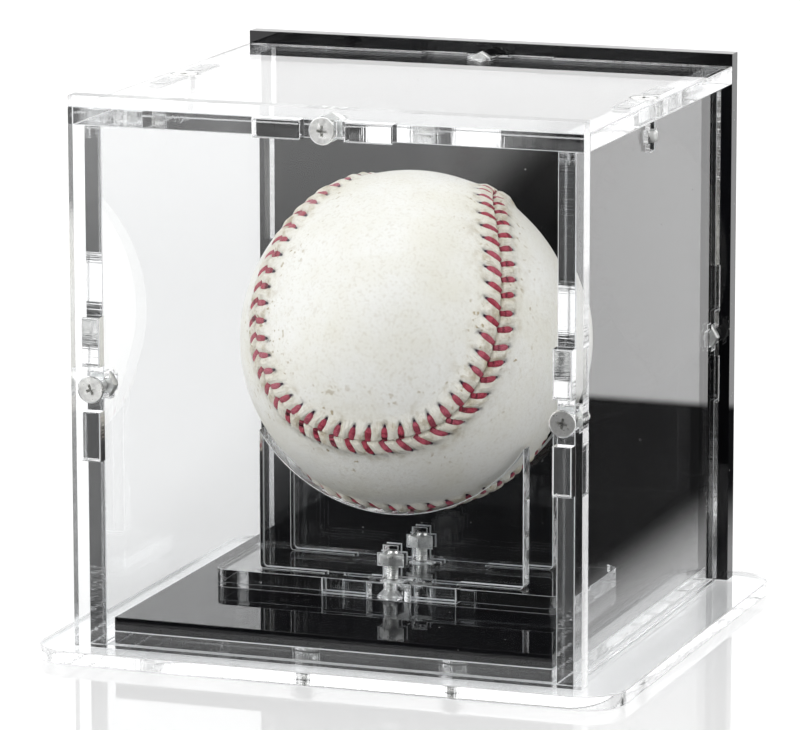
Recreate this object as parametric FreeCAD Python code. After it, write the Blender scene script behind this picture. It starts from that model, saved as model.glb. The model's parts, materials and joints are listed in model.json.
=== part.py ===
import FreeCAD, Part
import math
import os

# Acrylic display case for one ball: a five-sided cover over a base with a raised floor, and a
# loose stand with two cradles. Millimetres. Origin at the centre of the base plate's underside,
# +X to the viewer's right, +Y to the rear, +Z up.

# Sheets
cover_sheet = 4.0
base_sheet = 3.0
stand_sheet = 4.0

# Ball, and the free room around it inside the cover
ball_radius = 37.0
side_room = 13.75
front_room = 13.25
head_room = 14.5

# How far the cover's panels stand proud of each other
side_overhang = 2.5
top_overhang = 2.75

# Base
base_side_margin = 8.75
base_front_margin = 5.5
base_corner_radius = 9.0
floor_clearance = 1.25

# Stand: each cradle's seat is an arc that wraps the ball on both sides of straight down
ball_seat_gap = 0.3
cradle_wrap_angle = 57.0
cradle_spacing = 20.0
cradle_web = 14.6
cradle_corner_radius = 1.0
stand_end_margin = 9.5
stand_front_margin = 3.5
stand_corner_radius = 3.0

# Tab joints: two tabs, with the screw between them
tab_length = 10.5
tab_gap = 10.0
tab_clearance = 0.1

# M3 fasteners
screw_diameter = 3.0
screw_length = 10.0
head_diameter = 5.5
head_rim = 0.3
tip_chamfer = 0.4
recess_width = 0.8
recess_span = 3.0
recess_depth = 0.9
screw_clearance = 0.1
head_clearance = 0.2
nut_across_flats = 5.5
nut_thickness = 2.4
nut_chamfer = 0.35
nut_clearance = 0.1
thread_clearance = 0.05
nut_wall = 3.0
slot_end_room = 1.4

# Screws that hold the plinth to the base plate
base_screw_spacing = 34.0
base_screw_end_room = 1.0

# Heights, from the underside up
cover_bottom = base_sheet
plinth_top = 2 * base_sheet
floor_top = 3 * base_sheet
stand_top = floor_top + stand_sheet
cradle_y = cradle_spacing / 2
cradle_inner_y = cradle_y - stand_sheet / 2
cradle_seat_radius = math.sqrt((ball_radius + ball_seat_gap) ** 2 - cradle_inner_y ** 2)
ball_centre_z = stand_top + cradle_web + cradle_seat_radius
top_underside = ball_centre_z + ball_radius + head_room
top_face = top_underside + cover_sheet
panel_top = top_face + top_overhang
side_joint_z = (cover_bottom + top_underside) / 2
top_middle_z = top_underside + cover_sheet / 2

# Widths and depths, from the ball outwards
inner_x = ball_radius + side_room
inner_y = ball_radius + front_room
side_middle_x = inner_x + cover_sheet / 2
outer_y = inner_y + cover_sheet
panel_half_width = inner_x + cover_sheet + side_overhang
base_half_width = panel_half_width + base_side_margin
base_half_depth = outer_y + base_front_margin
floor_half_width = inner_x - floor_clearance
floor_half_depth = inner_y - floor_clearance
cradle_half_width = cradle_seat_radius * math.sin(math.radians(cradle_wrap_angle))
horn_top = ball_centre_z - cradle_seat_radius * math.cos(math.radians(cradle_wrap_angle))
stand_half_width = cradle_half_width + stand_end_margin
stand_half_depth = cradle_y + stand_sheet / 2 + stand_front_margin

# Joints and fasteners
tab_offset = (tab_gap + tab_length) / 2
slot_depth = screw_length - cover_sheet + slot_end_room
base_screw_length = plinth_top - base_screw_end_room

right, rear, up = FreeCAD.Vector(1, 0, 0), FreeCAD.Vector(0, 1, 0), FreeCAD.Vector(0, 0, 1)


def box(x, y, z):
    """Block between the two ends given for each axis."""
    corner = FreeCAD.Vector(min(x), min(y), min(z))
    return Part.makeBox(abs(x[1] - x[0]), abs(y[1] - y[0]), abs(z[1] - z[0]), corner)


def box_between(low, high):
    return box((low.x, high.x), (low.y, high.y), (low.z, high.z))


def centred_plate(half_width, half_depth, bottom, top):
    return box((-half_width, half_width), (-half_depth, half_depth), (bottom, top))


def round_upright_corners(plate, radius):
    uprights = [e for e in plate.Edges if abs(e.tangentAt(e.FirstParameter).z) > 0.5]
    return plate.makeFillet(radius, uprights)


def hexagon_prism(start, axis, flats, across_flats, length):
    """Hexagonal bar from start along axis, with two of its sides facing along flats."""
    side = axis.cross(flats)
    corner_radius = across_flats / math.sqrt(3)
    corners = []
    for k in range(7):
        angle = math.radians(60 * k + 30)
        direction = flats * math.cos(angle) + side * math.sin(angle)
        corners.append(start + direction * corner_radius)
    return Part.Face(Part.makePolygon(corners)).extrude(axis * length)


def countersunk_hole(face_point, inward, depth):
    """Screw hole through a sheet, with the seat for a head that is flush with face_point."""
    hole_radius = screw_diameter / 2 + screw_clearance
    seat_radius = head_diameter / 2 + head_clearance
    hole = Part.makeCylinder(hole_radius, depth, face_point, inward)
    rim = Part.makeCylinder(seat_radius, head_rim, face_point, inward)
    cone_start = face_point + inward * head_rim
    cone = Part.makeCone(seat_radius, hole_radius, seat_radius - hole_radius, cone_start, inward)
    return hole.fuse([rim, cone])


def make_screw(face_point, inward, along, length):
    """Countersunk screw with a cross recess, its head flush with face_point."""
    across = inward.cross(along)
    shank_radius = screw_diameter / 2
    head_radius = head_diameter / 2
    shank = Part.makeCylinder(shank_radius, length - tip_chamfer, face_point, inward)
    tip = Part.makeCone(shank_radius, shank_radius - tip_chamfer, tip_chamfer,
                        face_point + inward * (length - tip_chamfer), inward)
    rim = Part.makeCylinder(head_radius, head_rim, face_point, inward)
    cone_start = face_point + inward * head_rim
    cone = Part.makeCone(head_radius, shank_radius, head_radius - shank_radius, cone_start, inward)
    screw = shank.fuse([tip, rim, cone]).removeSplitter()
    for arm, other in ((along, across), (across, along)):
        half = arm * (recess_span / 2) + other * (recess_width / 2)
        screw = screw.cut(box_between(face_point - half, face_point + half + inward * recess_depth))
    return screw


def make_nut(start, inward, flats):
    """Hex nut from start along inward, with two of its flats facing along flats."""
    prism = hexagon_prism(start, inward, flats, nut_across_flats, nut_thickness)
    # a cone at each end takes off the hexagon's corners
    end_radius = nut_across_flats / math.sqrt(3) - nut_chamfer
    full_radius = end_radius + nut_thickness
    first_end = Part.makeCone(end_radius, full_radius, nut_thickness, start, inward)
    second_end = Part.makeCone(full_radius, end_radius, nut_thickness, start, inward)
    bore = Part.makeCylinder(screw_diameter / 2 + thread_clearance, nut_thickness, start, inward)
    return prism.common(first_end).common(second_end).cut(bore)


class TabJoint:
    """Two tabs of one sheet in two mortises of another of the same thickness, pulled tight by a
    screw between them. Its point is where the screw's axis leaves the outer sheet's face, inward
    is the screw's direction and along is the line of the tabs."""

    def __init__(self, name, face_point, inward, along, sheet):
        self.name = name
        self.face_point = face_point
        self.inward = inward
        self.along = along
        self.across = inward.cross(along)
        self.sheet = sheet
        self.nut_start = sheet + nut_wall

    def block(self, inward, along, across):
        ends = [self.face_point + self.inward * inward[k] + self.along * along[k] + self.across * across[k]
                for k in (0, 1)]
        return box_between(ends[0], ends[1])

    def tabs(self, clearance=0.0):
        """The two tabs, or with a clearance the two mortises, which run past both faces."""
        half = tab_length / 2 + clearance
        thick = self.sheet / 2 + clearance
        return [self.block((-clearance, self.sheet + clearance), (middle - half, middle + half), (-thick, thick))
                for middle in (-tab_offset, tab_offset)]

    def cross_slot(self):
        """Slot in the tabbed sheet: a channel for the screw and a crossbar that holds the nut."""
        thick = self.sheet / 2 + tab_clearance
        channel_half = screw_diameter / 2 + screw_clearance
        pocket_half = nut_across_flats / 2 + nut_clearance
        pocket_end = self.nut_start + nut_thickness + 2 * nut_clearance
        channel = self.block((self.sheet - tab_clearance, self.sheet + slot_depth),
                             (-channel_half, channel_half), (-thick, thick))
        pocket = self.block((self.nut_start, pocket_end), (-pocket_half, pocket_half), (-thick, thick))
        return channel.fuse(pocket)

    def cut_outer(self, sheet):
        for mortise in self.tabs(tab_clearance):
            sheet = sheet.cut(mortise)
        return sheet.cut(countersunk_hole(self.face_point, self.inward, self.sheet))

    def shape_inner(self, sheet):
        return sheet.fuse(self.tabs()).cut(self.cross_slot()).removeSplitter()

    def save_fasteners(self, screw_name, nut_name):
        save(screw_name, make_screw(self.face_point, self.inward, self.along, screw_length))
        save(nut_name, make_nut(self.face_point + self.inward * self.nut_start, self.inward, self.along))


def save(name, shape):
    shape.exportStep("parts/" + name + ".step")
    print(name, "volume", round(shape.Volume, 1))


def cover_joints():
    """The cover's eight joints, each with the names of its outer and its tabbed panel."""
    joints = []
    for face, face_side in (("front", -1), ("back", 1)):
        inward = rear * -face_side
        face_y = face_side * outer_y
        for flank, flank_side in (("left", -1), ("right", 1)):
            place = FreeCAD.Vector(flank_side * side_middle_x, face_y, side_joint_z)
            joints.append((face, flank, TabJoint(face + "_" + flank, place, inward, up, cover_sheet)))
        place = FreeCAD.Vector(0, face_y, top_middle_z)
        joints.append((face, "top", TabJoint(face + "_top", place, inward, right, cover_sheet)))
    for flank, flank_side in (("left", -1), ("right", 1)):
        place = FreeCAD.Vector(flank_side * side_middle_x, 0, top_face)
        joints.append(("top", flank, TabJoint("top_" + flank, place, -up, rear, cover_sheet)))
    return joints


def make_cover():
    panels = {"top": centred_plate(panel_half_width, inner_y, top_underside, top_face)}
    for name, side in (("front", -1), ("back", 1)):
        panels[name] = box((-panel_half_width, panel_half_width), (side * inner_y, side * outer_y),
                           (cover_bottom, panel_top))
    for name, side in (("left", -1), ("right", 1)):
        panels[name] = box((side * inner_x, side * (inner_x + cover_sheet)), (-inner_y, inner_y),
                           (cover_bottom, top_underside))
    for outer, inner, joint in cover_joints():
        panels[outer] = joint.cut_outer(panels[outer])
        panels[inner] = joint.shape_inner(panels[inner])
        joint.save_fasteners("screw_" + joint.name, "nut_" + joint.name)
    for name, panel in panels.items():
        save(name + "_panel", panel)


def make_base():
    plate = centred_plate(base_half_width, base_half_depth, 0, base_sheet)
    plate = round_upright_corners(plate, base_corner_radius)
    plinth = centred_plate(floor_half_width, floor_half_depth, base_sheet, plinth_top)
    for name, side in (("left", -1), ("right", 1)):
        underside = FreeCAD.Vector(side * base_screw_spacing / 2, 0, 0)
        nut_start = underside + up * base_sheet
        plate = plate.cut(countersunk_hole(underside, up, base_sheet))
        plinth = plinth.cut(hexagon_prism(nut_start, up, right, nut_across_flats + nut_clearance, base_sheet))
        save("base_screw_" + name, make_screw(underside, up, right, base_screw_length))
        save("base_nut_" + name, make_nut(nut_start, up, right))
    save("base_plate", plate)
    save("plinth_plate", plinth)
    save("floor_plate", centred_plate(floor_half_width, floor_half_depth, plinth_top, floor_top))


def make_cradle(centre_y):
    """Upright plate with an arc about the ball's centre line cut out of its top."""
    plate = box((-cradle_half_width, cradle_half_width),
                (centre_y - stand_sheet / 2, centre_y + stand_sheet / 2), (stand_top, horn_top))
    bottom_corners = [e for e in plate.Edges
                      if abs(e.tangentAt(e.FirstParameter).y) > 0.5 and e.CenterOfMass.z < plate.CenterOfMass.z]
    plate = plate.makeFillet(cradle_corner_radius, bottom_corners)
    seat_start = FreeCAD.Vector(0, -stand_half_depth, ball_centre_z)
    return plate.cut(Part.makeCylinder(cradle_seat_radius, 2 * stand_half_depth, seat_start, rear))


def make_stand():
    plate = centred_plate(stand_half_width, stand_half_depth, floor_top, stand_top)
    plate = round_upright_corners(plate, stand_corner_radius)
    for name, centre_y in (("front", -cradle_y), ("rear", cradle_y)):
        joint = TabJoint(name, FreeCAD.Vector(0, centre_y, floor_top), up, right, stand_sheet)
        plate = joint.cut_outer(plate)
        save(name + "_cradle", joint.shape_inner(make_cradle(centre_y)))
        joint.save_fasteners("stand_screw_" + name, "stand_nut_" + name)
    save("stand_base", plate)


def make_ball():
    save("baseball", Part.makeSphere(ball_radius, FreeCAD.Vector(0, 0, ball_centre_z)))


os.makedirs("parts", exist_ok=True)
make_cover()
make_base()
make_stand()
make_ball()
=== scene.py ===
import json
import math
import random
from bisect import bisect_right

import bmesh
import bpy
from mathutils import Euler, Matrix, Vector
from mathutils.kdtree import KDTree


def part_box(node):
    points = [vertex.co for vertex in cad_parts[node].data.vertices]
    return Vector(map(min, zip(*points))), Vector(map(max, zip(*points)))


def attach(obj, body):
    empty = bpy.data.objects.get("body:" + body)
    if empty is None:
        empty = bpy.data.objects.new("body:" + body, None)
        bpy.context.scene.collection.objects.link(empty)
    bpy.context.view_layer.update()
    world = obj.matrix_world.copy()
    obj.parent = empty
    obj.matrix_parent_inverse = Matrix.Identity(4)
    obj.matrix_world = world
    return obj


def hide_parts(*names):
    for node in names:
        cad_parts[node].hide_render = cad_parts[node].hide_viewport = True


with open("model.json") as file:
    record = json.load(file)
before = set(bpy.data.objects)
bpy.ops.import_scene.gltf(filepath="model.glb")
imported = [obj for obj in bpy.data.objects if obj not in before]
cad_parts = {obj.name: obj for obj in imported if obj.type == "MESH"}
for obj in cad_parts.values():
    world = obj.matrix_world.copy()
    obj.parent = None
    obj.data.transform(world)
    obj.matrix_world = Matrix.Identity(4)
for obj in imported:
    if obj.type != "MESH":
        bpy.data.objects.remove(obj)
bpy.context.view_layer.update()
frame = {"nodes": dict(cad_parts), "record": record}
scene = bpy.context.scene
mm = 0.001
print("frame loaded,", len(frame["nodes"]), "nodes")


# Small helpers for shader trees

def newMaterial(name):
    material = bpy.data.materials.new(name)
    material.use_nodes = True
    tree = material.node_tree
    tree.nodes.clear()
    return material, tree


def addNode(tree, kind, inputs=None, **settings):
    node = tree.nodes.new(kind)
    for key, value in settings.items():
        setattr(node, key, value)
    for key, value in (inputs or {}).items():
        if isinstance(value, bpy.types.NodeSocket):
            tree.links.new(value, node.inputs[key])
        else:
            node.inputs[key].default_value = value
    return node


def mathNode(tree, operation, first, second=0.0):
    return addNode(tree, "ShaderNodeMath", {0: first, 1: second}, operation=operation).outputs[0]


def mapRange(tree, value, fromMin, fromMax, toMin, toMax):
    inputs = {"Value": value, "From Min": fromMin, "From Max": fromMax, "To Min": toMin, "To Max": toMax}
    return addNode(tree, "ShaderNodeMapRange", inputs).outputs["Result"]


def mixColour(tree, factor, first, second, blend="MIX"):
    node = addNode(tree, "ShaderNodeMix", data_type="RGBA", blend_type=blend)
    for key, value in ((0, factor), (6, first), (7, second)):
        if isinstance(value, bpy.types.NodeSocket):
            tree.links.new(value, node.inputs[key])
        else:
            node.inputs[key].default_value = value
    return node.outputs[2]


def objectPoint(tree, scale=(1, 1, 1)):
    point = addNode(tree, "ShaderNodeTexCoord").outputs["Object"]
    return addNode(tree, "ShaderNodeMapping", {"Vector": point, "Scale": scale}).outputs["Vector"]


def bumped(tree, height, strength, depth):
    inputs = {"Height": height, "Strength": strength, "Distance": depth}
    return addNode(tree, "ShaderNodeBump", inputs).outputs["Normal"]


def newGroup(name, inputs, outputs):
    group = bpy.data.node_groups.new(name, "ShaderNodeTree")
    for socketName, kind, value in inputs:
        socket = group.interface.new_socket(name=socketName, in_out="INPUT", socket_type=kind)
        if value is not None:
            socket.default_value = value
    for socketName, kind in outputs:
        group.interface.new_socket(name=socketName, in_out="OUTPUT", socket_type=kind)
    start = group.nodes.new("NodeGroupInput").outputs
    end = group.nodes.new("NodeGroupOutput").inputs
    return group, start, end


def placeGroup(tree, group, **inputs):
    node = addNode(tree, "ShaderNodeGroup", node_tree=group)
    for key, value in inputs.items():
        socket = node.inputs[key]
        if isinstance(value, bpy.types.NodeSocket):
            tree.links.new(value, socket)
        else:
            socket.default_value = value
    return node.outputs


# Effects that several materials share

def makeDustGroup():
    group, start, end = newGroup("settledDust",
                                 [("Point", "NodeSocketVector", None), ("Size", "NodeSocketFloat", 900.0),
                                  ("Amount", "NodeSocketFloat", 0.1)],
                                 [("Mask", "NodeSocketFloat")])
    cells = addNode(group, "ShaderNodeTexVoronoi", {"Vector": start["Point"], "Scale": start["Size"]})
    speck = mapRange(group, cells.outputs["Distance"], 0.10, 0.04, 0.0, 1.0)
    chance = addNode(group, "ShaderNodeSeparateColor", {"Color": cells.outputs["Color"]}).outputs["Red"]
    kept = mathNode(group, "LESS_THAN", chance, start["Amount"])
    group.links.new(mathNode(group, "MULTIPLY", speck, kept), end["Mask"])
    return group


def makeSmudgeGroup():
    group, start, end = newGroup("handlingSmudge",
                                 [("Point", "NodeSocketVector", None), ("Clean", "NodeSocketFloat", 0.01),
                                  ("Smudged", "NodeSocketFloat", 0.06)],
                                 [("Roughness", "NodeSocketFloat")])
    cloud = addNode(group, "ShaderNodeTexNoise",
                    {"Vector": start["Point"], "Scale": 38.0, "Detail": 4.0, "Roughness": 0.6})
    patch = mapRange(group, cloud.outputs["Fac"], 0.52, 0.72, 0.0, 1.0)
    span = mathNode(group, "SUBTRACT", start["Smudged"], start["Clean"])
    rough = mathNode(group, "ADD", mathNode(group, "MULTIPLY", span, patch), start["Clean"])
    group.links.new(rough, end["Roughness"])
    return group


def makeGrainGroup():
    group, start, end = newGroup("fineGrain",
                                 [("Point", "NodeSocketVector", None), ("Coarse", "NodeSocketFloat", 900.0),
                                  ("Fine", "NodeSocketFloat", 2600.0), ("Share", "NodeSocketFloat", 0.35)],
                                 [("Height", "NodeSocketFloat")])
    coarse = addNode(group, "ShaderNodeTexNoise",
                     {"Vector": start["Point"], "Scale": start["Coarse"], "Detail": 3.0, "Roughness": 0.55})
    fine = addNode(group, "ShaderNodeTexNoise", {"Vector": start["Point"], "Scale": start["Fine"], "Detail": 2.0})
    height = mathNode(group, "ADD", coarse.outputs["Fac"],
                      mathNode(group, "MULTIPLY", fine.outputs["Fac"], start["Share"]))
    group.links.new(height, end["Height"])
    return group


dustGroup = makeDustGroup()
smudgeGroup = makeSmudgeGroup()
grainGroup = makeGrainGroup()


# Clear acrylic: polished faces, laser-cut edges and machined screw seats

clearAcrylic = {
    "ior": 1.49,
    "tint": (0.992, 0.997, 1.0, 1.0),
    "shadowTint": (0.93, 0.94, 0.95, 1.0),       # what a lamp loses on its way through one sheet
    "cleanRoughness": 0.0,
    "smudgeRoughness": 0.008,
    "cutRoughness": 0.03,
    "arrisRoughness": 0.45,
    "arrisClearness": 0.35,       # the eased corners are scuffed, so they catch the light as thin pale lines
    "striationScale": 2600.0,      # laser marks across the thickness, about 0.4 mm apart
    "striationDepth": 0.05 * mm,
    "seatRoughness": 0.32,
}


def finishClear(tree, roughness, normal=None, clearness=1.0):
    glass = addNode(tree, "ShaderNodeBsdfPrincipled",
                    {"Base Color": clearAcrylic["tint"], "Metallic": 0.0, "Transmission Weight": clearness,
                     "IOR": clearAcrylic["ior"], "Roughness": roughness})
    if normal is not None:
        tree.links.new(normal, glass.inputs["Normal"])
    through = addNode(tree, "ShaderNodeBsdfTransparent", {"Color": clearAcrylic["shadowTint"]})
    rays = addNode(tree, "ShaderNodeLightPath")
    mix = addNode(tree, "ShaderNodeMixShader", {0: rays.outputs["Is Shadow Ray"], 1: glass.outputs[0],
                                                2: through.outputs[0]})
    addNode(tree, "ShaderNodeOutputMaterial", {"Surface": mix.outputs[0]})


def makePolishedFace():
    material, tree = newMaterial("clearAcrylicFace")
    point = objectPoint(tree)
    smudge = placeGroup(tree, smudgeGroup, Point=point, Clean=clearAcrylic["cleanRoughness"],
                        Smudged=clearAcrylic["smudgeRoughness"])
    finishClear(tree, smudge["Roughness"])
    return material


def makeLaserEdge(thinAxis):
    scale = [1.0, 1.0, 1.0]
    scale[thinAxis] = 0.03       # the marks run straight through the sheet
    material, tree = newMaterial("clearAcrylicEdge" + "XYZ"[thinAxis])
    point = objectPoint(tree, scale)
    marks = addNode(tree, "ShaderNodeTexNoise", {"Vector": point, "Scale": clearAcrylic["striationScale"],
                                                 "Detail": 2.0})
    waves = addNode(tree, "ShaderNodeTexNoise", {"Vector": point, "Scale": clearAcrylic["striationScale"] / 8})
    height = mathNode(tree, "ADD", marks.outputs["Fac"], mathNode(tree, "MULTIPLY", waves.outputs["Fac"], 3.0))
    finishClear(tree, clearAcrylic["cutRoughness"], bumped(tree, height, 0.5, clearAcrylic["striationDepth"]))
    return material


def makeArris():
    material, tree = newMaterial("clearAcrylicArris")
    wear = addNode(tree, "ShaderNodeTexNoise", {"Vector": objectPoint(tree), "Scale": 500.0, "Detail": 3.0})
    rough = mapRange(tree, wear.outputs["Fac"], 0.35, 0.65, 0.6 * clearAcrylic["arrisRoughness"],
                     1.3 * clearAcrylic["arrisRoughness"])
    finishClear(tree, rough, clearness=clearAcrylic["arrisClearness"])
    return material


def makeScrewSeat():
    material, tree = newMaterial("clearAcrylicSeat")
    grain = placeGroup(tree, grainGroup, Point=objectPoint(tree), Coarse=3000.0, Fine=6000.0)["Height"]
    finishClear(tree, clearAcrylic["seatRoughness"], bumped(tree, grain, 0.4, 0.05 * mm))
    return material


# Black acrylic of the back and the floor

blackAcrylic = {
    "colour": (0.0022, 0.0022, 0.003, 1.0),
    "dustColour": (0.35, 0.35, 0.34, 1.0),
    "ior": 1.49,
    "cleanRoughness": 0.02,
    "smudgeRoughness": 0.09,
    "dustAmount": 0.1,
}


def makeBlackAcrylic():
    material, tree = newMaterial("blackAcrylic")
    point = objectPoint(tree)
    dust = placeGroup(tree, dustGroup, Point=point, Size=420.0, Amount=blackAcrylic["dustAmount"])["Mask"]
    colour = mixColour(tree, dust, blackAcrylic["colour"], blackAcrylic["dustColour"])
    smudge = placeGroup(tree, smudgeGroup, Point=point, Clean=blackAcrylic["cleanRoughness"],
                        Smudged=blackAcrylic["smudgeRoughness"])
    rough = mathNode(tree, "ADD", smudge["Roughness"], mathNode(tree, "MULTIPLY", dust, 0.5))
    shader = addNode(tree, "ShaderNodeBsdfPrincipled",
                     {"Base Color": colour, "Roughness": rough, "IOR": blackAcrylic["ior"]})
    addNode(tree, "ShaderNodeOutputMaterial", {"Surface": shader.outputs[0]})
    return material


# Plated steel of the screws and nuts

platedSteel = {
    "screwColour": (0.93, 0.93, 0.91, 1.0),
    "nutColour": (0.93, 0.935, 0.92, 1.0),
    "metallic": 0.9,       # the zinc coat is a little milky
    "screwRoughness": 0.3,
    "nutRoughness": 0.32,
}


def makeSteel(name, colour, roughness):
    material, tree = newMaterial(name)
    point = objectPoint(tree)
    cloud = addNode(tree, "ShaderNodeTexNoise", {"Vector": point, "Scale": 700.0, "Detail": 4.0})
    dull = [c * 0.72 for c in colour[:3]] + [1.0]
    tone = mixColour(tree, mapRange(tree, cloud.outputs["Fac"], 0.4, 0.7, 0.0, 1.0), colour, dull)
    rough = mapRange(tree, cloud.outputs["Fac"], 0.3, 0.7, roughness * 0.7, roughness * 1.6)
    grain = placeGroup(tree, grainGroup, Point=point, Coarse=4000.0, Fine=9000.0)["Height"]
    shader = addNode(tree, "ShaderNodeBsdfPrincipled",
                     {"Base Color": tone, "Metallic": platedSteel["metallic"], "Roughness": rough,
                      "Normal": bumped(tree, grain, 0.25, 0.02 * mm)})
    addNode(tree, "ShaderNodeOutputMaterial", {"Surface": shader.outputs[0]})
    return material


faceMaterial = makePolishedFace()
edgeMaterials = [makeLaserEdge(axis) for axis in range(3)]
seatMaterial = makeScrewSeat()
arrisMaterial = makeArris()
blackMaterial = makeBlackAcrylic()
screwMaterial = makeSteel("platedScrewSteel", platedSteel["screwColour"], platedSteel["screwRoughness"])
nutMaterial = makeSteel("platedNutSteel", platedSteel["nutColour"], platedSteel["nutRoughness"])
print("acrylic and steel materials made")


# Mesh helpers

def pieceName(node, ending):
    words = node.split("_")
    return words[0] + "".join(word.capitalize() for word in words[1:]) + ending


def finishPiece(name, form, materials, body, replaced):
    mesh = bpy.data.meshes.new(name)
    form.to_mesh(mesh)
    form.free()
    piece = bpy.data.objects.new(name, mesh)
    scene.collection.objects.link(piece)
    for material in materials:
        mesh.materials.append(material)
    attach(piece, body)
    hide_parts(*replaced)
    return piece


def bodyOf(node):
    return next(body for body, nodes in frame["record"]["behaviour"]["bodies"].items() if node in nodes)


def copyOfNode(node):
    form = bmesh.new()
    form.from_mesh(frame["nodes"][node].data)
    bmesh.ops.remove_doubles(form, verts=form.verts, dist=0.001 * mm)
    bmesh.ops.dissolve_limit(form, angle_limit=math.radians(0.5), verts=form.verts, edges=form.edges)
    return form


def roundEdges(form, radius, sharperThan, segments=2):
    edges = [edge for edge in form.edges if edge.calc_face_angle(0.0) > math.radians(sharperThan)]
    bmesh.ops.bevel(form, geom=edges, offset=radius, offset_type="OFFSET", affect="EDGES", segments=segments,
                    profile=0.5, material=-1, clamp_overlap=True)


def shadeByAngle(mesh, angle):
    mesh.shade_smooth()
    mesh.set_sharp_from_angle(angle=math.radians(angle))


def flattenSquareFaces(mesh):
    for face in mesh.polygons:
        if max(abs(part) for part in face.normal) > 0.9999:
            face.use_smooth = False


# Cut sheets: each is its node's shape, a hair smaller all round, with its cut edges eased

cutSheets = {
    "airGap": 0.02 * mm,
    "edgeRound": 0.18 * mm,
    "arrisAbove": 0.12,       # how far a face has to turn towards the sheet's face to be an eased corner
    "roundAbove": 50.0,       # degrees
    "smoothBelow": 18.0,
    "clear": ["front_panel", "left_panel", "right_panel", "top_panel", "base_plate", "plinth_plate",
              "stand_base", "front_cradle", "rear_cradle"],
    "black": ["back_panel", "floor_plate"],
}


def thinAxisOf(node):
    low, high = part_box(node)
    size = high - low
    return min(range(3), key=lambda axis: size[axis])


def shrink(form, gap):
    form.normal_update()
    moved = [(vert, vert.normal * vert.calc_shell_factor() * gap) for vert in form.verts]
    for vert, step in moved:
        vert.co -= step


def makeSheet(node, clear):
    form = copyOfNode(node)
    shrink(form, cutSheets["airGap"])
    roundEdges(form, cutSheets["edgeRound"], cutSheets["roundAbove"])
    form.normal_update()
    axis = thinAxisOf(node)
    for face in form.faces:
        lean = abs(face.normal[axis])
        if lean > 0.99 or not clear:
            face.material_index = 0
        elif lean < cutSheets["arrisAbove"]:
            face.material_index = 1
        else:
            face.material_index = 2 if isSeat(face) else 3
    materials = [faceMaterial, edgeMaterials[axis], seatMaterial, arrisMaterial] if clear else [blackMaterial]
    piece = finishPiece(pieceName(node, "Sheet"), form, materials, bodyOf(node),
                        [node])
    shadeByAngle(piece.data, cutSheets["smoothBelow"])
    flattenSquareFaces(piece.data)
    return piece


def isSeat(face):
    # A seat's faces are wide cone segments, an eased corner's are slivers
    return face.calc_perimeter() ** 2 < 40 * face.calc_area() and face.calc_area() > (0.25 * mm) ** 2


for node in cutSheets["clear"]:
    makeSheet(node, True)
for node in cutSheets["black"]:
    makeSheet(node, False)
print("sheets cut")


# Countersunk screws and hex nuts

screwForm = {
    "headRadius": 2.75 * mm,
    "rimHeight": 0.3 * mm,
    "rimRound": 0.08 * mm,
    "shankRadius": 1.5 * mm,
    "pitch": 0.5 * mm,
    "threadDepth": 0.28 * mm,
    "rowsPerPitch": 6,
    "segments": 26,
    "tipChamfer": 0.4 * mm,
    "recessSpan": 3.1 * mm,
    "recessFoot": 1.5 * mm,
    "recessWidth": 0.72 * mm,
    "recessDepth": 1.3 * mm,
    "turns": 7,        # seed for how far each head happens to be turned
}
screwAxes = {"screw_front": (0, 1, 0), "screw_back": (0, -1, 0), "screw_top": (0, 0, -1),
             "base_screw": (0, 0, 1), "stand_screw": (0, 0, 1)}


def turnedScrew(length):
    s = screwForm
    neck = s["rimHeight"] + s["headRadius"] - s["shankRadius"]
    outline = [(0.0, 0.0), (s["headRadius"] - s["rimRound"], 0.0), (s["headRadius"], s["rimRound"]),
               (s["headRadius"], s["rimHeight"]), (s["shankRadius"], neck)]
    rows = int((length - s["tipChamfer"] - neck) / s["pitch"] * s["rowsPerPitch"])
    step = (length - s["tipChamfer"] - neck) / rows
    outline += [(s["shankRadius"], neck + step * row) for row in range(1, rows + 1)]
    outline += [(s["shankRadius"] - s["tipChamfer"], length), (0.0, length)]
    form = bmesh.new()
    verts = [form.verts.new((radius, 0.0, height)) for radius, height in outline]
    edges = [form.edges.new(pair) for pair in zip(verts, verts[1:])]
    bmesh.ops.spin(form, geom=verts + edges, cent=(0, 0, 0), axis=(0, 0, 1), dvec=(0, 0, 0),
                   angle=math.tau, steps=s["segments"], use_merge=True)
    bmesh.ops.remove_doubles(form, verts=form.verts, dist=0.001 * mm)
    for vert in form.verts:
        radius = math.hypot(vert.co.x, vert.co.y)
        if vert.co.z <= neck + s["pitch"] / 2 or radius < s["shankRadius"] * 0.98:
            continue
        turn = math.atan2(vert.co.y, vert.co.x) / math.tau
        wave = abs(((vert.co.z / s["pitch"] - turn) % 1.0) * 2 - 1)
        vert.co.xy *= 1 - s["threadDepth"] * wave / radius
    bmesh.ops.recalc_face_normals(form, faces=form.faces)
    return form


def recessBlade(turn):
    s = screwForm
    form = bmesh.new()
    bmesh.ops.create_cube(form, size=1.0)
    bmesh.ops.scale(form, vec=(s["recessSpan"], s["recessWidth"], 2 * s["recessDepth"]), verts=form.verts)
    for vert in form.verts:
        if vert.co.z > 0:
            vert.co.x *= s["recessFoot"] / s["recessSpan"]
            vert.co.y *= 0.7
    bmesh.ops.rotate(form, cent=(0, 0, 0), matrix=Matrix.Rotation(turn, 3, "Z"), verts=form.verts)
    return form


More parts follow.
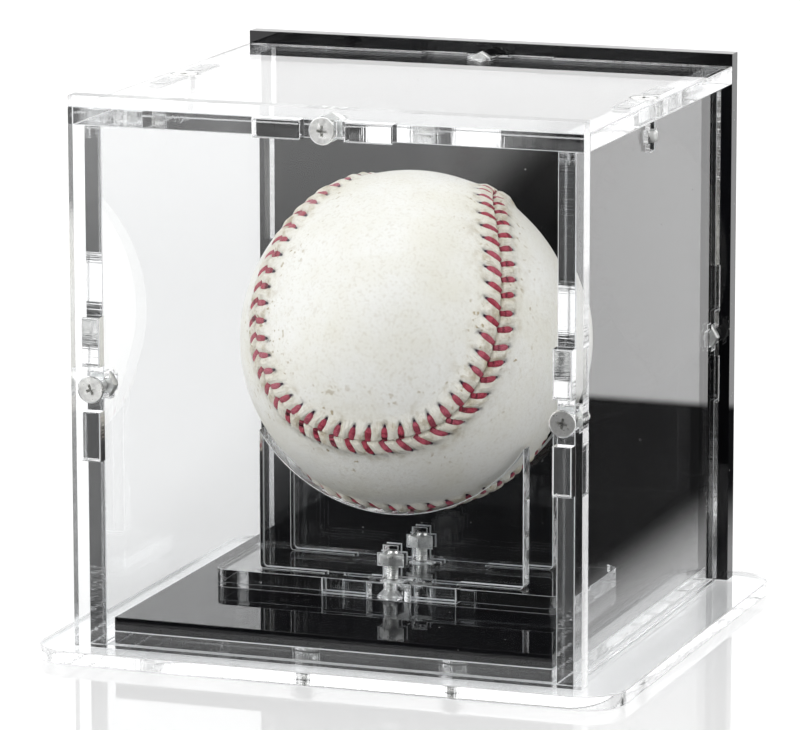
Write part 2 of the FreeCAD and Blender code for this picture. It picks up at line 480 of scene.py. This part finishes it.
def cutRecess(form):
    mesh = bpy.data.meshes.new("screwBlank")
    form.to_mesh(mesh)
    form.free()
    blank = bpy.data.objects.new("screwBlank", mesh)
    scene.collection.objects.link(blank)
    blades = []
    for turn in (0.0, math.pi / 2):
        bladeMesh = bpy.data.meshes.new("recessBlade")
        blade = recessBlade(turn)
        blade.to_mesh(bladeMesh)
        blade.free()
        cutter = bpy.data.objects.new("recessBlade", bladeMesh)
        scene.collection.objects.link(cutter)
        cut = blank.modifiers.new("recess", "BOOLEAN")
        cut.operation = "DIFFERENCE"
        cut.solver = "EXACT"
        cut.object = cutter
        blades.append(cutter)
    cutMesh = bpy.data.meshes.new_from_object(blank.evaluated_get(bpy.context.evaluated_depsgraph_get()))
    for thing in [blank] + blades:
        bpy.data.objects.remove(thing)
    return cutMesh


def placeOnAxis(node, inward, turn):
    low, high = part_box(node)
    inward = Vector(inward)
    length = abs((high - low).dot(inward))
    facePoint = (low + high) / 2 - inward * length / 2
    return Matrix.Translation(facePoint) @ inward.to_track_quat("Z", "Y").to_matrix().to_4x4() @ \
        Matrix.Rotation(turn, 4, "Z"), length


def makeScrews():
    chance = random.Random(screwForm["turns"])
    blanks = {}
    for node in sorted(n for n in frame["nodes"] if "screw" in n):
        inward = next(axis for start, axis in screwAxes.items() if node.startswith(start))
        place, length = placeOnAxis(node, inward, chance.uniform(0, math.pi))
        key = round(length / mm)
        if key not in blanks:
            blanks[key] = cutRecess(turnedScrew(length))
        form = bmesh.new()
        form.from_mesh(blanks[key])
        bmesh.ops.transform(form, matrix=place, verts=form.verts)
        piece = finishPiece(pieceName(node, "Turned"), form, [screwMaterial], bodyOf(node), [node])
        shadeByAngle(piece.data, 32)


def makeNuts():
    for node in sorted(n for n in frame["nodes"] if "nut" in n):
        form = copyOfNode(node)
        roundEdges(form, 0.07 * mm, 50.0)
        piece = finishPiece(pieceName(node, "Hex"), form, [nutMaterial], bodyOf(node), [node])
        shadeByAngle(piece.data, 25)


makeScrews()
makeNuts()
print("screws turned and nuts rounded")


# The ball: two leather covers, their puckered seam and its stitches

ball = {
    "radius": 36.75 * mm,
    "seamShape": (1.171, -0.011, 0.454, 0.026),       # swings of the seam's closed curve, in radians
    "seamTurn": (183.5, 41.1, 94.5),       # degrees, the seam in the photo's place
    "seamSamples": 4320,
    "stitchPairs": 108,
    "firstStitch": 2.2 * mm,
    "spacingWander": (1.46 * mm, 52),       # hand sewing: how far the pairs drift, and about which pair
    "reach": 3.75 * mm,       # holes each side of the seam
    "lead": 1.0 * mm,       # each right arm meets the seam this far ahead of its left arm
    "lean": (1.05 * mm, 1.85 * mm),       # how far back the left and the right holes lie
    "leanWander": (0.75 * mm, 6, 44.5),       # more lean on one side, less on the other, in six waves
    "looseness": {"place": 0.14 * mm, "lean": 0.25 * mm, "reach": 0.3 * mm, "lobe": 0.2},
    "sewingSeed": 3,
    "weltReach": 7.5 * mm,
    "weltHeight": 0.24 * mm,
    "lobeHeight": 0.85 * mm,
    "valleyDepth": 0.5 * mm,
    "grooveDepth": 0.32 * mm,
    "grooveWidth": 0.2 * mm,
    "holeDepth": 0.35 * mm,
    "holeWidth": 0.3 * mm,
    "threadWidth": 1.62 * mm,
    "threadThickness": 0.95 * mm,
    "threadRings": 7,
    "threadSides": 8,
}
ballLow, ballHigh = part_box("baseball")
ballCentre = (ballLow + ballHigh) / 2


def smoothStep(low, high, value):
    share = min(max((value - low) / (high - low), 0.0), 1.0)
    return share * share * (3 - 2 * share)


class Seam:
    def __init__(self):
        turn = Euler([math.radians(angle) for angle in ball["seamTurn"]], "XYZ").to_matrix()
        rise, flat, swing, square = ball["seamShape"]
        count = ball["seamSamples"]
        self.points = []
        for k in range(count):
            t = 4 * math.pi * k / count
            polar = math.pi / 2 - rise * math.cos(t) - flat * math.cos(3 * t)
            around = t / 2 + swing * math.sin(2 * t) + square * math.sin(4 * t)
            point = Vector((math.sin(polar) * math.cos(around), math.sin(polar) * math.sin(around), math.cos(polar)))
            self.points.append(turn @ point)
        self.ahead = [(self.points[(k + 1) % count] - self.points[k - 1]).normalized() for k in range(count)]
        self.along = [0.0]
        for k in range(count):
            step = (self.points[(k + 1) % count] - self.points[k]).length * ball["radius"]
            self.along.append(self.along[-1] + step)
        self.length = self.along[-1]
        self.tree = KDTree(count)
        for k, point in enumerate(self.points):
            self.tree.insert(point, k)
        self.tree.balance()
        self.sew()

    def sew(self):
        chance = random.Random(ball["sewingSeed"])
        loose = ball["looseness"]
        pairs = ball["stitchPairs"]
        drift, middle = ball["spacingWander"]
        swing, waves, calm = ball["leanWander"]
        self.pitch = self.length / pairs
        self.places = []
        self.arms = {-1: [], 1: []}       # for each side and pair: reach, lean, height of the lobe after it, fading
        for pair in range(pairs):
            wander = drift * math.sin(math.tau * (pair - middle) / pairs)
            jitter = chance.uniform(-1, 1) * loose["place"]
            self.places.append(ball["firstStitch"] + self.pitch * pair - wander + jitter)
            skew = swing * math.sin(math.tau * waves * (pair - calm) / pairs)
            for side, lean in ((-1, ball["lean"][0] - skew), (1, ball["lean"][1] + skew)):
                self.arms[side].append((ball["reach"] + chance.uniform(-1, 1) * loose["reach"],
                                        lean + chance.uniform(-1, 1) * loose["lean"],
                                        1 + chance.uniform(-1, 1) * loose["lobe"], chance.random()))

    def locate(self, direction):
        point, k, gap = self.tree.find(direction)
        offset = (direction - point) * ball["radius"]
        side = point.cross(self.ahead[k])
        return offset.dot(side), self.along[k] + offset.dot(self.ahead[k])

    def at(self, along):
        along %= self.length
        k = bisect_right(self.along, along) - 1
        share = (along - self.along[k]) / (self.along[k + 1] - self.along[k])
        point = self.points[k].lerp(self.points[(k + 1) % ball["seamSamples"]], share).normalized()
        return point, self.ahead[k], point.cross(self.ahead[k])

    def between(self, side, reach, along):
        # The pair whose arm lies just behind this point, and how far on towards the next arm it is
        back = along - side * ball["lead"] / 2
        guess = self.arms[side][int(back / self.pitch) % ball["stitchPairs"]]
        back += guess[1] * reach / ball["reach"]
        back = (back - self.places[0]) % self.length + self.places[0]
        pair = bisect_right(self.places, back) - 1
        ahead = self.places[pair + 1] if pair + 1 < len(self.places) else self.places[0] + self.length
        return pair, (back - self.places[pair]) / (ahead - self.places[pair])


def seamRelief(seam, across, along):
    # Height over the ball's radius, how near a hole (the mask of the painted shade round the holes), and a running
    # number that counts the lobes
    reach = abs(across)
    side = 1 if across > 0 else -1
    pair, share = seam.between(side, reach, along)
    nearest = pair if share < 0.5 else (pair + 1) % ball["stitchPairs"]
    gap = min(share, 1 - share) * seam.pitch
    lobe = 1 - abs(2 * share - 1) ** 2.2
    swell = smoothStep(-0.1 * mm, 0.7 * mm, reach) * (1 - smoothStep(2.2 * mm, 4.6 * mm, reach))
    welt = ball["weltHeight"] * (1 - smoothStep(0.3 * ball["weltReach"], ball["weltReach"], reach))
    groove = math.exp(-(reach / ball["grooveWidth"]) ** 2)
    fromHole = math.hypot(gap, reach - seam.arms[side][nearest][0]) / ball["holeWidth"]
    hole = math.exp(-fromHole ** 2)
    height = (welt + ball["lobeHeight"] * seam.arms[side][pair][2] * swell * lobe
              - ball["valleyDepth"] * swell * (1 - lobe) - ball["grooveDepth"] * groove - ball["holeDepth"] * hole)
    return height, math.exp(-(fromHole / 1.6) ** 2), pair * 7.3 + share * 5.0


def makeLeather(seam):
    form = bmesh.new()
    bmesh.ops.create_icosphere(form, subdivisions=6, radius=1.0)
    for reach in (5.2 * mm, 4.5 * mm, 0.75 * mm):
        near = {vert for vert in form.verts if seam.tree.find(vert.co)[2] * ball["radius"] < reach}
        edges = [edge for edge in form.edges if edge.verts[0] in near and edge.verts[1] in near]
        bmesh.ops.subdivide_edges(form, edges=edges, cuts=1, use_grid_fill=True)
        for vert in form.verts:
            vert.co.normalize()
    layers = {name: form.verts.layers.float.new(name) for name in ("seamReach", "holeShade", "pucker")}
    for vert in form.verts:
        across, along = seam.locate(vert.co)
        relief, shade, pucker = 0.0, 0.0, 0.0
        if abs(across) < ball["weltReach"]:
            relief, shade, pucker = seamRelief(seam, across, along)
        vert[layers["seamReach"]] = abs(across) / mm
        vert[layers["holeShade"]] = shade
        vert[layers["pucker"]] = pucker
        vert.co = ballCentre + vert.co * (ball["radius"] + relief)
    bmesh.ops.triangulate(form, faces=[face for face in form.faces if len(face.verts) > 4])
    for face in form.faces:
        face.smooth = True
    return form


def makeArmBlank():
    # One arm of a stitch, straight, from its pointed end in the hole (0) to the seam (1)
    form = bmesh.new()
    ring = bmesh.ops.create_circle(form, cap_ends=True, segments=ball["threadSides"], radius=0.5)["verts"]
    face = form.faces[:] or [form.faces.new(ring)]
    rings = ball["threadRings"]
    for k in range(rings):
        grown = bmesh.ops.extrude_face_region(form, geom=face)["geom"]
        face = [part for part in grown if isinstance(part, bmesh.types.BMFace)]
        verts = [part for part in grown if isinstance(part, bmesh.types.BMVert)]
        bmesh.ops.translate(form, vec=(0, 0, 1 / rings), verts=verts)
    for vert in form.verts:
        share = vert.co.z
        fullness = (0.24 + 0.76 * smoothStep(-0.02, 0.4, share)) * (1 - 0.2 * smoothStep(0.6, 1.0, share))
        vert.co.x *= ball["threadWidth"] * fullness
        vert.co.y *= ball["threadThickness"] * fullness
    bmesh.ops.recalc_face_normals(form, faces=form.faces)
    uvLayer = form.loops.layers.uv.new("thread")
    for face in form.faces:
        face.smooth = len(face.verts) == 4
        middle = face.calc_center_median()
        facing = math.atan2(middle.y, middle.x)
        for loop in face.loops:
            angle = math.atan2(loop.vert.co.y, loop.vert.co.x)
            angle += math.tau * round((facing - angle) / math.tau)
            loop[uvLayer].uv = (loop.vert.co.z, angle / math.tau)
    mesh = bpy.data.meshes.new("armBlank")
    form.to_mesh(mesh)
    form.free()
    return mesh


def armPoint(seam, pair, side, share):
    reach, lean = seam.arms[side][pair][:2]
    along = seam.places[pair] + side * ball["lead"] / 2 - lean * (1 - share)
    across = side * (reach * (1 - share) + 0.1 * mm * share)
    point, ahead, sideways = seam.at(along)
    up = (point + sideways * (across / ball["radius"])).normalized()
    rise = 0.08 + 0.34 * smoothStep(0.0, 0.4, share) - 0.26 * smoothStep(0.7, 1.05, share)
    return ballCentre + up * (ball["radius"] + rise * mm), up


def makeStitches(seam):
    blank = makeArmBlank()
    form = bmesh.new()
    fading = form.verts.layers.float.new("armFading")
    for pair in range(ball["stitchPairs"]):
        for side in (-1, 1):
            done = len(form.verts)
            form.from_mesh(blank)
            form.verts.ensure_lookup_table()
            frames = {}
            for vert in form.verts[done:]:
                share = vert.co.z
                key = round(share, 4)
                if key not in frames:
                    centre, up = armPoint(seam, pair, side, share)
                    forward = (armPoint(seam, pair, side, share + 0.05)[0] -
                               armPoint(seam, pair, side, share - 0.05)[0]).normalized()
                    wide = forward.cross(up).normalized()
                    frames[key] = centre, wide, wide.cross(forward)
                centre, wide, high = frames[key]
                vert.co = centre + wide * vert.co.x + high * vert.co.y
                vert[fading] = seam.arms[side][pair][3]
    bmesh.ops.recalc_face_normals(form, faces=form.faces)
    return form


leatherLook = {
    "colour": (0.87, 0.86, 0.815, 1.0),
    "warm": (0.82, 0.80, 0.715, 1.0),
    "nearSeam": (0.74, 0.70, 0.585, 1.0),
    "crease": (0.40, 0.33, 0.22, 1.0),
    "holeEdge": (0.055, 0.05, 0.085, 1.0),
    "dirt": (0.34, 0.25, 0.10, 1.0),
    "poreTone": 0.2,
    "roughness": (0.42, 0.58),
}
threadLook = {
    "colour": (0.47, 0.05, 0.085, 1.0),
    "faded": (0.56, 0.135, 0.19, 1.0),
    "dark": (0.25, 0.014, 0.036, 1.0),
    "tip": (0.018, 0.012, 0.04, 1.0),
    "roughness": 0.5,
}


def attributeValue(tree, name):
    return addNode(tree, "ShaderNodeAttribute", attribute_name=name).outputs["Fac"]


def makeLeatherMaterial():
    material, tree = newMaterial("whiteBallLeather")
    point = objectPoint(tree)
    reach = attributeValue(tree, "seamReach")
    look = leatherLook
    cloud = addNode(tree, "ShaderNodeTexNoise", {"Vector": point, "Scale": 60.0, "Detail": 5.0, "Roughness": 0.6})
    tone = mixColour(tree, mapRange(tree, cloud.outputs["Fac"], 0.42, 0.66, 0.0, 1.0), look["colour"], look["warm"])
    nearSeam = mapRange(tree, reach, 6.5, 1.5, 0.0, 1.0)
    tone = mixColour(tree, mathNode(tree, "MULTIPLY", nearSeam, 0.7), tone, look["nearSeam"])
    stain = addNode(tree, "ShaderNodeTexNoise", {"Vector": point, "Scale": 330.0, "Detail": 6.0, "Roughness": 0.65})
    stained = mapRange(tree, stain.outputs["Fac"], 0.5, 0.66, 0.0, 1.0)
    worn = mapRange(tree, reach, 9.0, 3.0, 0.0, 1.0)
    spots = addNode(tree, "ShaderNodeTexNoise", {"Vector": point, "Scale": 760.0, "Detail": 1.0}).outputs["Fac"]
    patches = addNode(tree, "ShaderNodeTexNoise", {"Vector": point, "Scale": 110.0, "Detail": 2.0}).outputs["Fac"]
    specks = mathNode(tree, "MULTIPLY", mapRange(tree, spots, 0.64, 0.72, 0.0, 1.0),
                      mapRange(tree, patches, 0.46, 0.58, 0.0, 1.0))
    specks = mathNode(tree, "MULTIPLY", specks, mapRange(tree, reach, 13.0, 7.0, 0.15, 0.75))
    marks = mathNode(tree, "MULTIPLY", mathNode(tree, "MULTIPLY", stained, worn), 0.6)
    marks = mathNode(tree, "MAXIMUM", marks, specks)
    pores = addNode(tree, "ShaderNodeTexNoise", {"Vector": point, "Scale": 1500.0, "Detail": 2.0}).outputs["Fac"]
    marks = mathNode(tree, "MAXIMUM", marks, mapRange(tree, pores, 0.52, 0.75, 0.0, look["poreTone"]))
    tone = mixColour(tree, marks, tone, look["dirt"])
    # painted shade: the leather darkens into the seam's groove where the two covers meet
    tone = mixColour(tree, mapRange(tree, reach, 0.25, 0.05, 0.0, 0.15), tone, look["crease"])
    # painted shade: the leather darkens round each stitch hole
    tone = mixColour(tree, mathNode(tree, "MULTIPLY", attributeValue(tree, "holeShade"), 0.6), tone, look["holeEdge"])
    rough = mapRange(tree, cloud.outputs["Fac"], 0.3, 0.7, *look["roughness"])
    grain = placeGroup(tree, grainGroup, Point=point, Coarse=900.0, Fine=2600.0)["Height"]
    folds = addNode(tree, "ShaderNodeCombineXYZ", {"X": attributeValue(tree, "pucker"), "Y": reach})
    folds = addNode(tree, "ShaderNodeMapping", {"Vector": folds.outputs["Vector"], "Scale": (1.5, 0.5, 1.0)})
    wrinkle = addNode(tree, "ShaderNodeTexNoise", {"Vector": folds.outputs["Vector"], "Scale": 1.0, "Detail": 3.0})
    pulled = mapRange(tree, reach, 5.5, 3.0, 0.0, 4.0)
    height = mathNode(tree, "ADD", grain, mathNode(tree, "MULTIPLY", wrinkle.outputs["Fac"], pulled))
    shader = addNode(tree, "ShaderNodeBsdfPrincipled",
                     {"Base Color": tone, "Roughness": rough, "IOR": 1.45,
                      "Normal": bumped(tree, height, 0.8, 0.18 * mm)})
    addNode(tree, "ShaderNodeOutputMaterial", {"Surface": shader.outputs[0]})
    return material


def makeThreadMaterial():
    material, tree = newMaterial("redWaxedThread")
    uv = addNode(tree, "ShaderNodeUVMap", uv_map="thread").outputs["UV"]
    twist = addNode(tree, "ShaderNodeMapping", {"Vector": uv, "Rotation": (0, 0, math.radians(28))}).outputs["Vector"]
    strands = addNode(tree, "ShaderNodeTexWave", {"Vector": twist, "Scale": 2.6, "Distortion": 0.9,
                                                  "Detail": 2.0}, bands_direction="Y")
    fibres = addNode(tree, "ShaderNodeTexNoise", {"Vector": objectPoint(tree), "Scale": 2400.0, "Detail": 3.0})
    # random fibre tone, with painted shade in the grooves between the twisted plies
    shade = mapRange(tree, fibres.outputs["Fac"], 0.35, 0.65, 0.0, 0.55)
    shade = mathNode(tree, "MAXIMUM", shade, mathNode(tree, "MULTIPLY", strands.outputs["Fac"], 0.4))
    fading = mapRange(tree, attributeValue(tree, "armFading"), 0.25, 1.0, 0.0, 0.9)
    fresh = mixColour(tree, fading, threadLook["colour"], threadLook["faded"])
    tone = mixColour(tree, shade, fresh, threadLook["dark"])
    along = addNode(tree, "ShaderNodeSeparateXYZ", {"Vector": uv}).outputs["X"]
    # painted shade: the thread darkens towards its pointed end, where it goes down into its hole
    tone = mixColour(tree, mapRange(tree, along, 0.2, 0.08, 0.0, 0.92), tone, threadLook["tip"])
    # painted shade: the thread darkens at its other end, where it dives into the seam
    tone = mixColour(tree, mapRange(tree, along, 0.9, 1.0, 0.0, 0.6), tone, threadLook["dark"])
    height = mathNode(tree, "ADD", strands.outputs["Fac"], mathNode(tree, "MULTIPLY", fibres.outputs["Fac"], 0.6))
    shader = addNode(tree, "ShaderNodeBsdfPrincipled",
                     {"Base Color": tone, "Roughness": threadLook["roughness"],
                      "Normal": bumped(tree, height, 0.7, 0.1 * mm)})
    addNode(tree, "ShaderNodeOutputMaterial", {"Surface": shader.outputs[0]})
    return material


seam = Seam()
finishPiece("leatherBall", makeLeather(seam), [makeLeatherMaterial()], bodyOf("baseball"), ["baseball"])
finishPiece("redStitches", makeStitches(seam), [makeThreadMaterial()], bodyOf("baseball"), ["baseball"])
print("ball stitched,", ball["stitchPairs"], "pairs", round(seam.pitch / mm, 2), "mm apart")


# Floor, light and camera: a white sheet among soft lamps, with dark flags that only mirror-like faces pick up:
# painted reflections, patches of the floor that turn near black for mirrored rays alone

studio = {
    "floorRadius": 6.0,
    "floorColour": (0.80, 0.80, 0.80, 1.0),
    "floorRoughness": 0.05,
    "floorGlow": 0.22,       # lifts the floor to white where it is seen as the background
    "ambient": 0.62,
    "background": 1.0,
    "flagTone": 0.02,
    "roomTone": 0.06,       # the unlit room behind the camera, as mirrors see it
    # the two flags are painted reflections, dark patches of the floor that only mirrored rays see
    "rightFlag": (0.078, 0.25),       # the flag beside the case: from this x, and up to this y
    "flagBlur": 0.012,
    "frontFlag": (-0.080, -0.060, 0.174),      # the flag before it: up to this y, and right of a slanting edge
    "frontFlagBlur": 0.013,
    "frontGlow": (0.75, -0.45, -0.72),       # mirrored floor far before the case: extra light, rising from y to y
}
lamps = {
    "keyLamp": {"place": (-0.87, -0.93, 0.55), "size": (0.7, 0.7), "power": 6.0},
    "sideLamp": {"place": (0.85, -0.15, 1.09), "size": (0.9, 0.9), "power": 5.0},
    "backLamp": {"place": (-0.2, 1.7, 0.75), "size": (3.2, 1.4), "power": 5.5},
}


def ramp(tree, value, low, high):
    node = addNode(tree, "ShaderNodeMapRange", {"Value": value, "From Min": low, "From Max": high},
                   interpolation_type="SMOOTHSTEP")
    return node.outputs["Result"]


def seenRays(tree):
    # What is seen at all, what is seen after one to nine mirrorings, and how many there were
    rays = addNode(tree, "ShaderNodeLightPath").outputs
    seen = mathNode(tree, "MAXIMUM", rays["Is Camera Ray"], rays["Is Glossy Ray"])
    bounces = rays["Glossy Depth"]
    mirrored = mathNode(tree, "COMPARE", bounces, 5.0)
    mirrored.node.inputs[2].default_value = 4.5
    return mathNode(tree, "MAXIMUM", seen, rays["Is Transmission Ray"]), mirrored, bounces


def makeFloorMaterial():
    material, tree = newMaterial("paleFloor")
    seen, mirrored, bounces = seenRays(tree)
    place = addNode(tree, "ShaderNodeSeparateXYZ", {"Vector": addNode(tree, "ShaderNodeNewGeometry").outputs["Position"]})
    extra, glowStart, glowEnd = studio["frontGlow"]
    far = mathNode(tree, "MULTIPLY", ramp(tree, place.outputs["Y"], glowStart, glowEnd), mirrored)
    glow = mathNode(tree, "ADD", mathNode(tree, "MULTIPLY", seen, studio["floorGlow"]),
                    mathNode(tree, "MULTIPLY", far, extra))
    sheet = addNode(tree, "ShaderNodeBsdfPrincipled",
                    {"Base Color": studio["floorColour"], "Roughness": studio["floorRoughness"], "IOR": 1.5,
                     "Emission Color": (1, 1, 1, 1), "Emission Strength": glow})
    flagX, flagY = studio["rightFlag"]
    blur = studio["flagBlur"]
    beside = mathNode(tree, "MULTIPLY", ramp(tree, place.outputs["X"], flagX - blur, flagX + blur),
                      ramp(tree, place.outputs["Y"], flagY + blur / 2, flagY - blur / 2))
    beside = mathNode(tree, "MULTIPLY", beside, mathNode(tree, "LESS_THAN", bounces, 1.5))
    frontY, edge, slant = studio["frontFlag"]
    blur = studio["frontFlagBlur"]
    offset = mathNode(tree, "SUBTRACT", place.outputs["X"], mathNode(tree, "MULTIPLY", place.outputs["Y"], slant))
    before = mathNode(tree, "MULTIPLY", ramp(tree, place.outputs["Y"], frontY, frontY - blur / 10),
                      ramp(tree, offset, edge - blur, edge + blur))
    # painted reflection: in the flagged patches, mirrored rays see a faint near-black glow in place of the lit floor
    flagged = mathNode(tree, "MULTIPLY", mathNode(tree, "MAXIMUM", beside, before), mirrored)
    flag = addNode(tree, "ShaderNodeEmission", {"Color": (1, 1, 1, 1), "Strength": studio["flagTone"]})
    mix = addNode(tree, "ShaderNodeMixShader", {0: flagged, 1: sheet.outputs[0], 2: flag.outputs[0]})
    addNode(tree, "ShaderNodeOutputMaterial", {"Surface": mix.outputs[0]})
    return material


def makeFloor():
    form = bmesh.new()
    bmesh.ops.create_circle(form, cap_ends=True, segments=96, radius=studio["floorRadius"])
    mesh = bpy.data.meshes.new("studioFloor")
    form.to_mesh(mesh)
    form.free()
    floor = bpy.data.objects.new("studioFloor", mesh)
    scene.collection.objects.link(floor)
    mesh.materials.append(makeFloorMaterial())


def makeWorld():
    world = bpy.data.worlds.new("studioWorld")
    scene.world = world
    world.use_nodes = True
    tree = world.node_tree
    tree.nodes.clear()
    factor, mirrored, bounces = seenRays(tree)
    facing = addNode(tree, "ShaderNodeSeparateXYZ", {"Vector": addNode(tree, "ShaderNodeTexCoord").outputs["Generated"]})
    dim = mathNode(tree, "MULTIPLY", ramp(tree, facing.outputs["Y"], 0.1, -0.5), mirrored)
    strength = mapRange(tree, dim, 0.0, 1.0, studio["background"], studio["background"] * studio["roomTone"])
    seen = addNode(tree, "ShaderNodeBackground", {"Color": (1, 1, 1, 1), "Strength": strength})
    light = addNode(tree, "ShaderNodeBackground", {"Color": (1, 1, 1, 1), "Strength": studio["ambient"]})
    mix = addNode(tree, "ShaderNodeMixShader", {0: factor, 1: light.outputs[0], 2: seen.outputs[0]})
    addNode(tree, "ShaderNodeOutputWorld", {"Surface": mix.outputs[0]})


def makeLamps():
    for name, values in lamps.items():
        lamp = bpy.data.lights.new(name, "AREA")
        lamp.shape = "RECTANGLE"
        lamp.size, lamp.size_y = values["size"]
        lamp.energy = values["power"]
        thing = bpy.data.objects.new(name, lamp)
        thing.location = values["place"]
        thing.rotation_euler = (ballCentre - thing.location).to_track_quat("-Z", "Y").to_euler()
        thing.visible_camera = False
        scene.collection.objects.link(thing)


photoView = {
    "place": (0.4152, -1.1436, 0.3004),
    "azimuth": 20.07,
    "elevation": 11.27,
    "roll": -0.10,
    "lens": 256.0,
}


def makeCamera():
    data = bpy.data.cameras.new("photoCamera")
    data.sensor_width = 36.0
    data.lens = photoView["lens"]
    data.clip_start = 0.01
    data.clip_end = 50.0
    camera = bpy.data.objects.new("photoCamera", data)
    azimuth, elevation = math.radians(photoView["azimuth"]), math.radians(photoView["elevation"])
    facing = Vector((-math.sin(azimuth) * math.cos(elevation), math.cos(azimuth) * math.cos(elevation),
                     -math.sin(elevation)))
    turn = facing.to_track_quat("-Z", "Y").to_matrix() @ Matrix.Rotation(math.radians(photoView["roll"]), 3, "Z")
    camera.matrix_world = Matrix.Translation(photoView["place"]) @ turn.to_4x4()
    scene.collection.objects.link(camera)
    scene.camera = camera


makeFloor()
makeWorld()
makeLamps()
makeCamera()
scene.view_settings.view_transform = "Standard"
scene.cycles.max_bounces = 40       # light runs inside the sheets from edge to edge, mirrored some twenty times
scene.cycles.transmission_bounces = 32
scene.cycles.glossy_bounces = 32
scene.cycles.transparent_max_bounces = 32
print("studio ready")
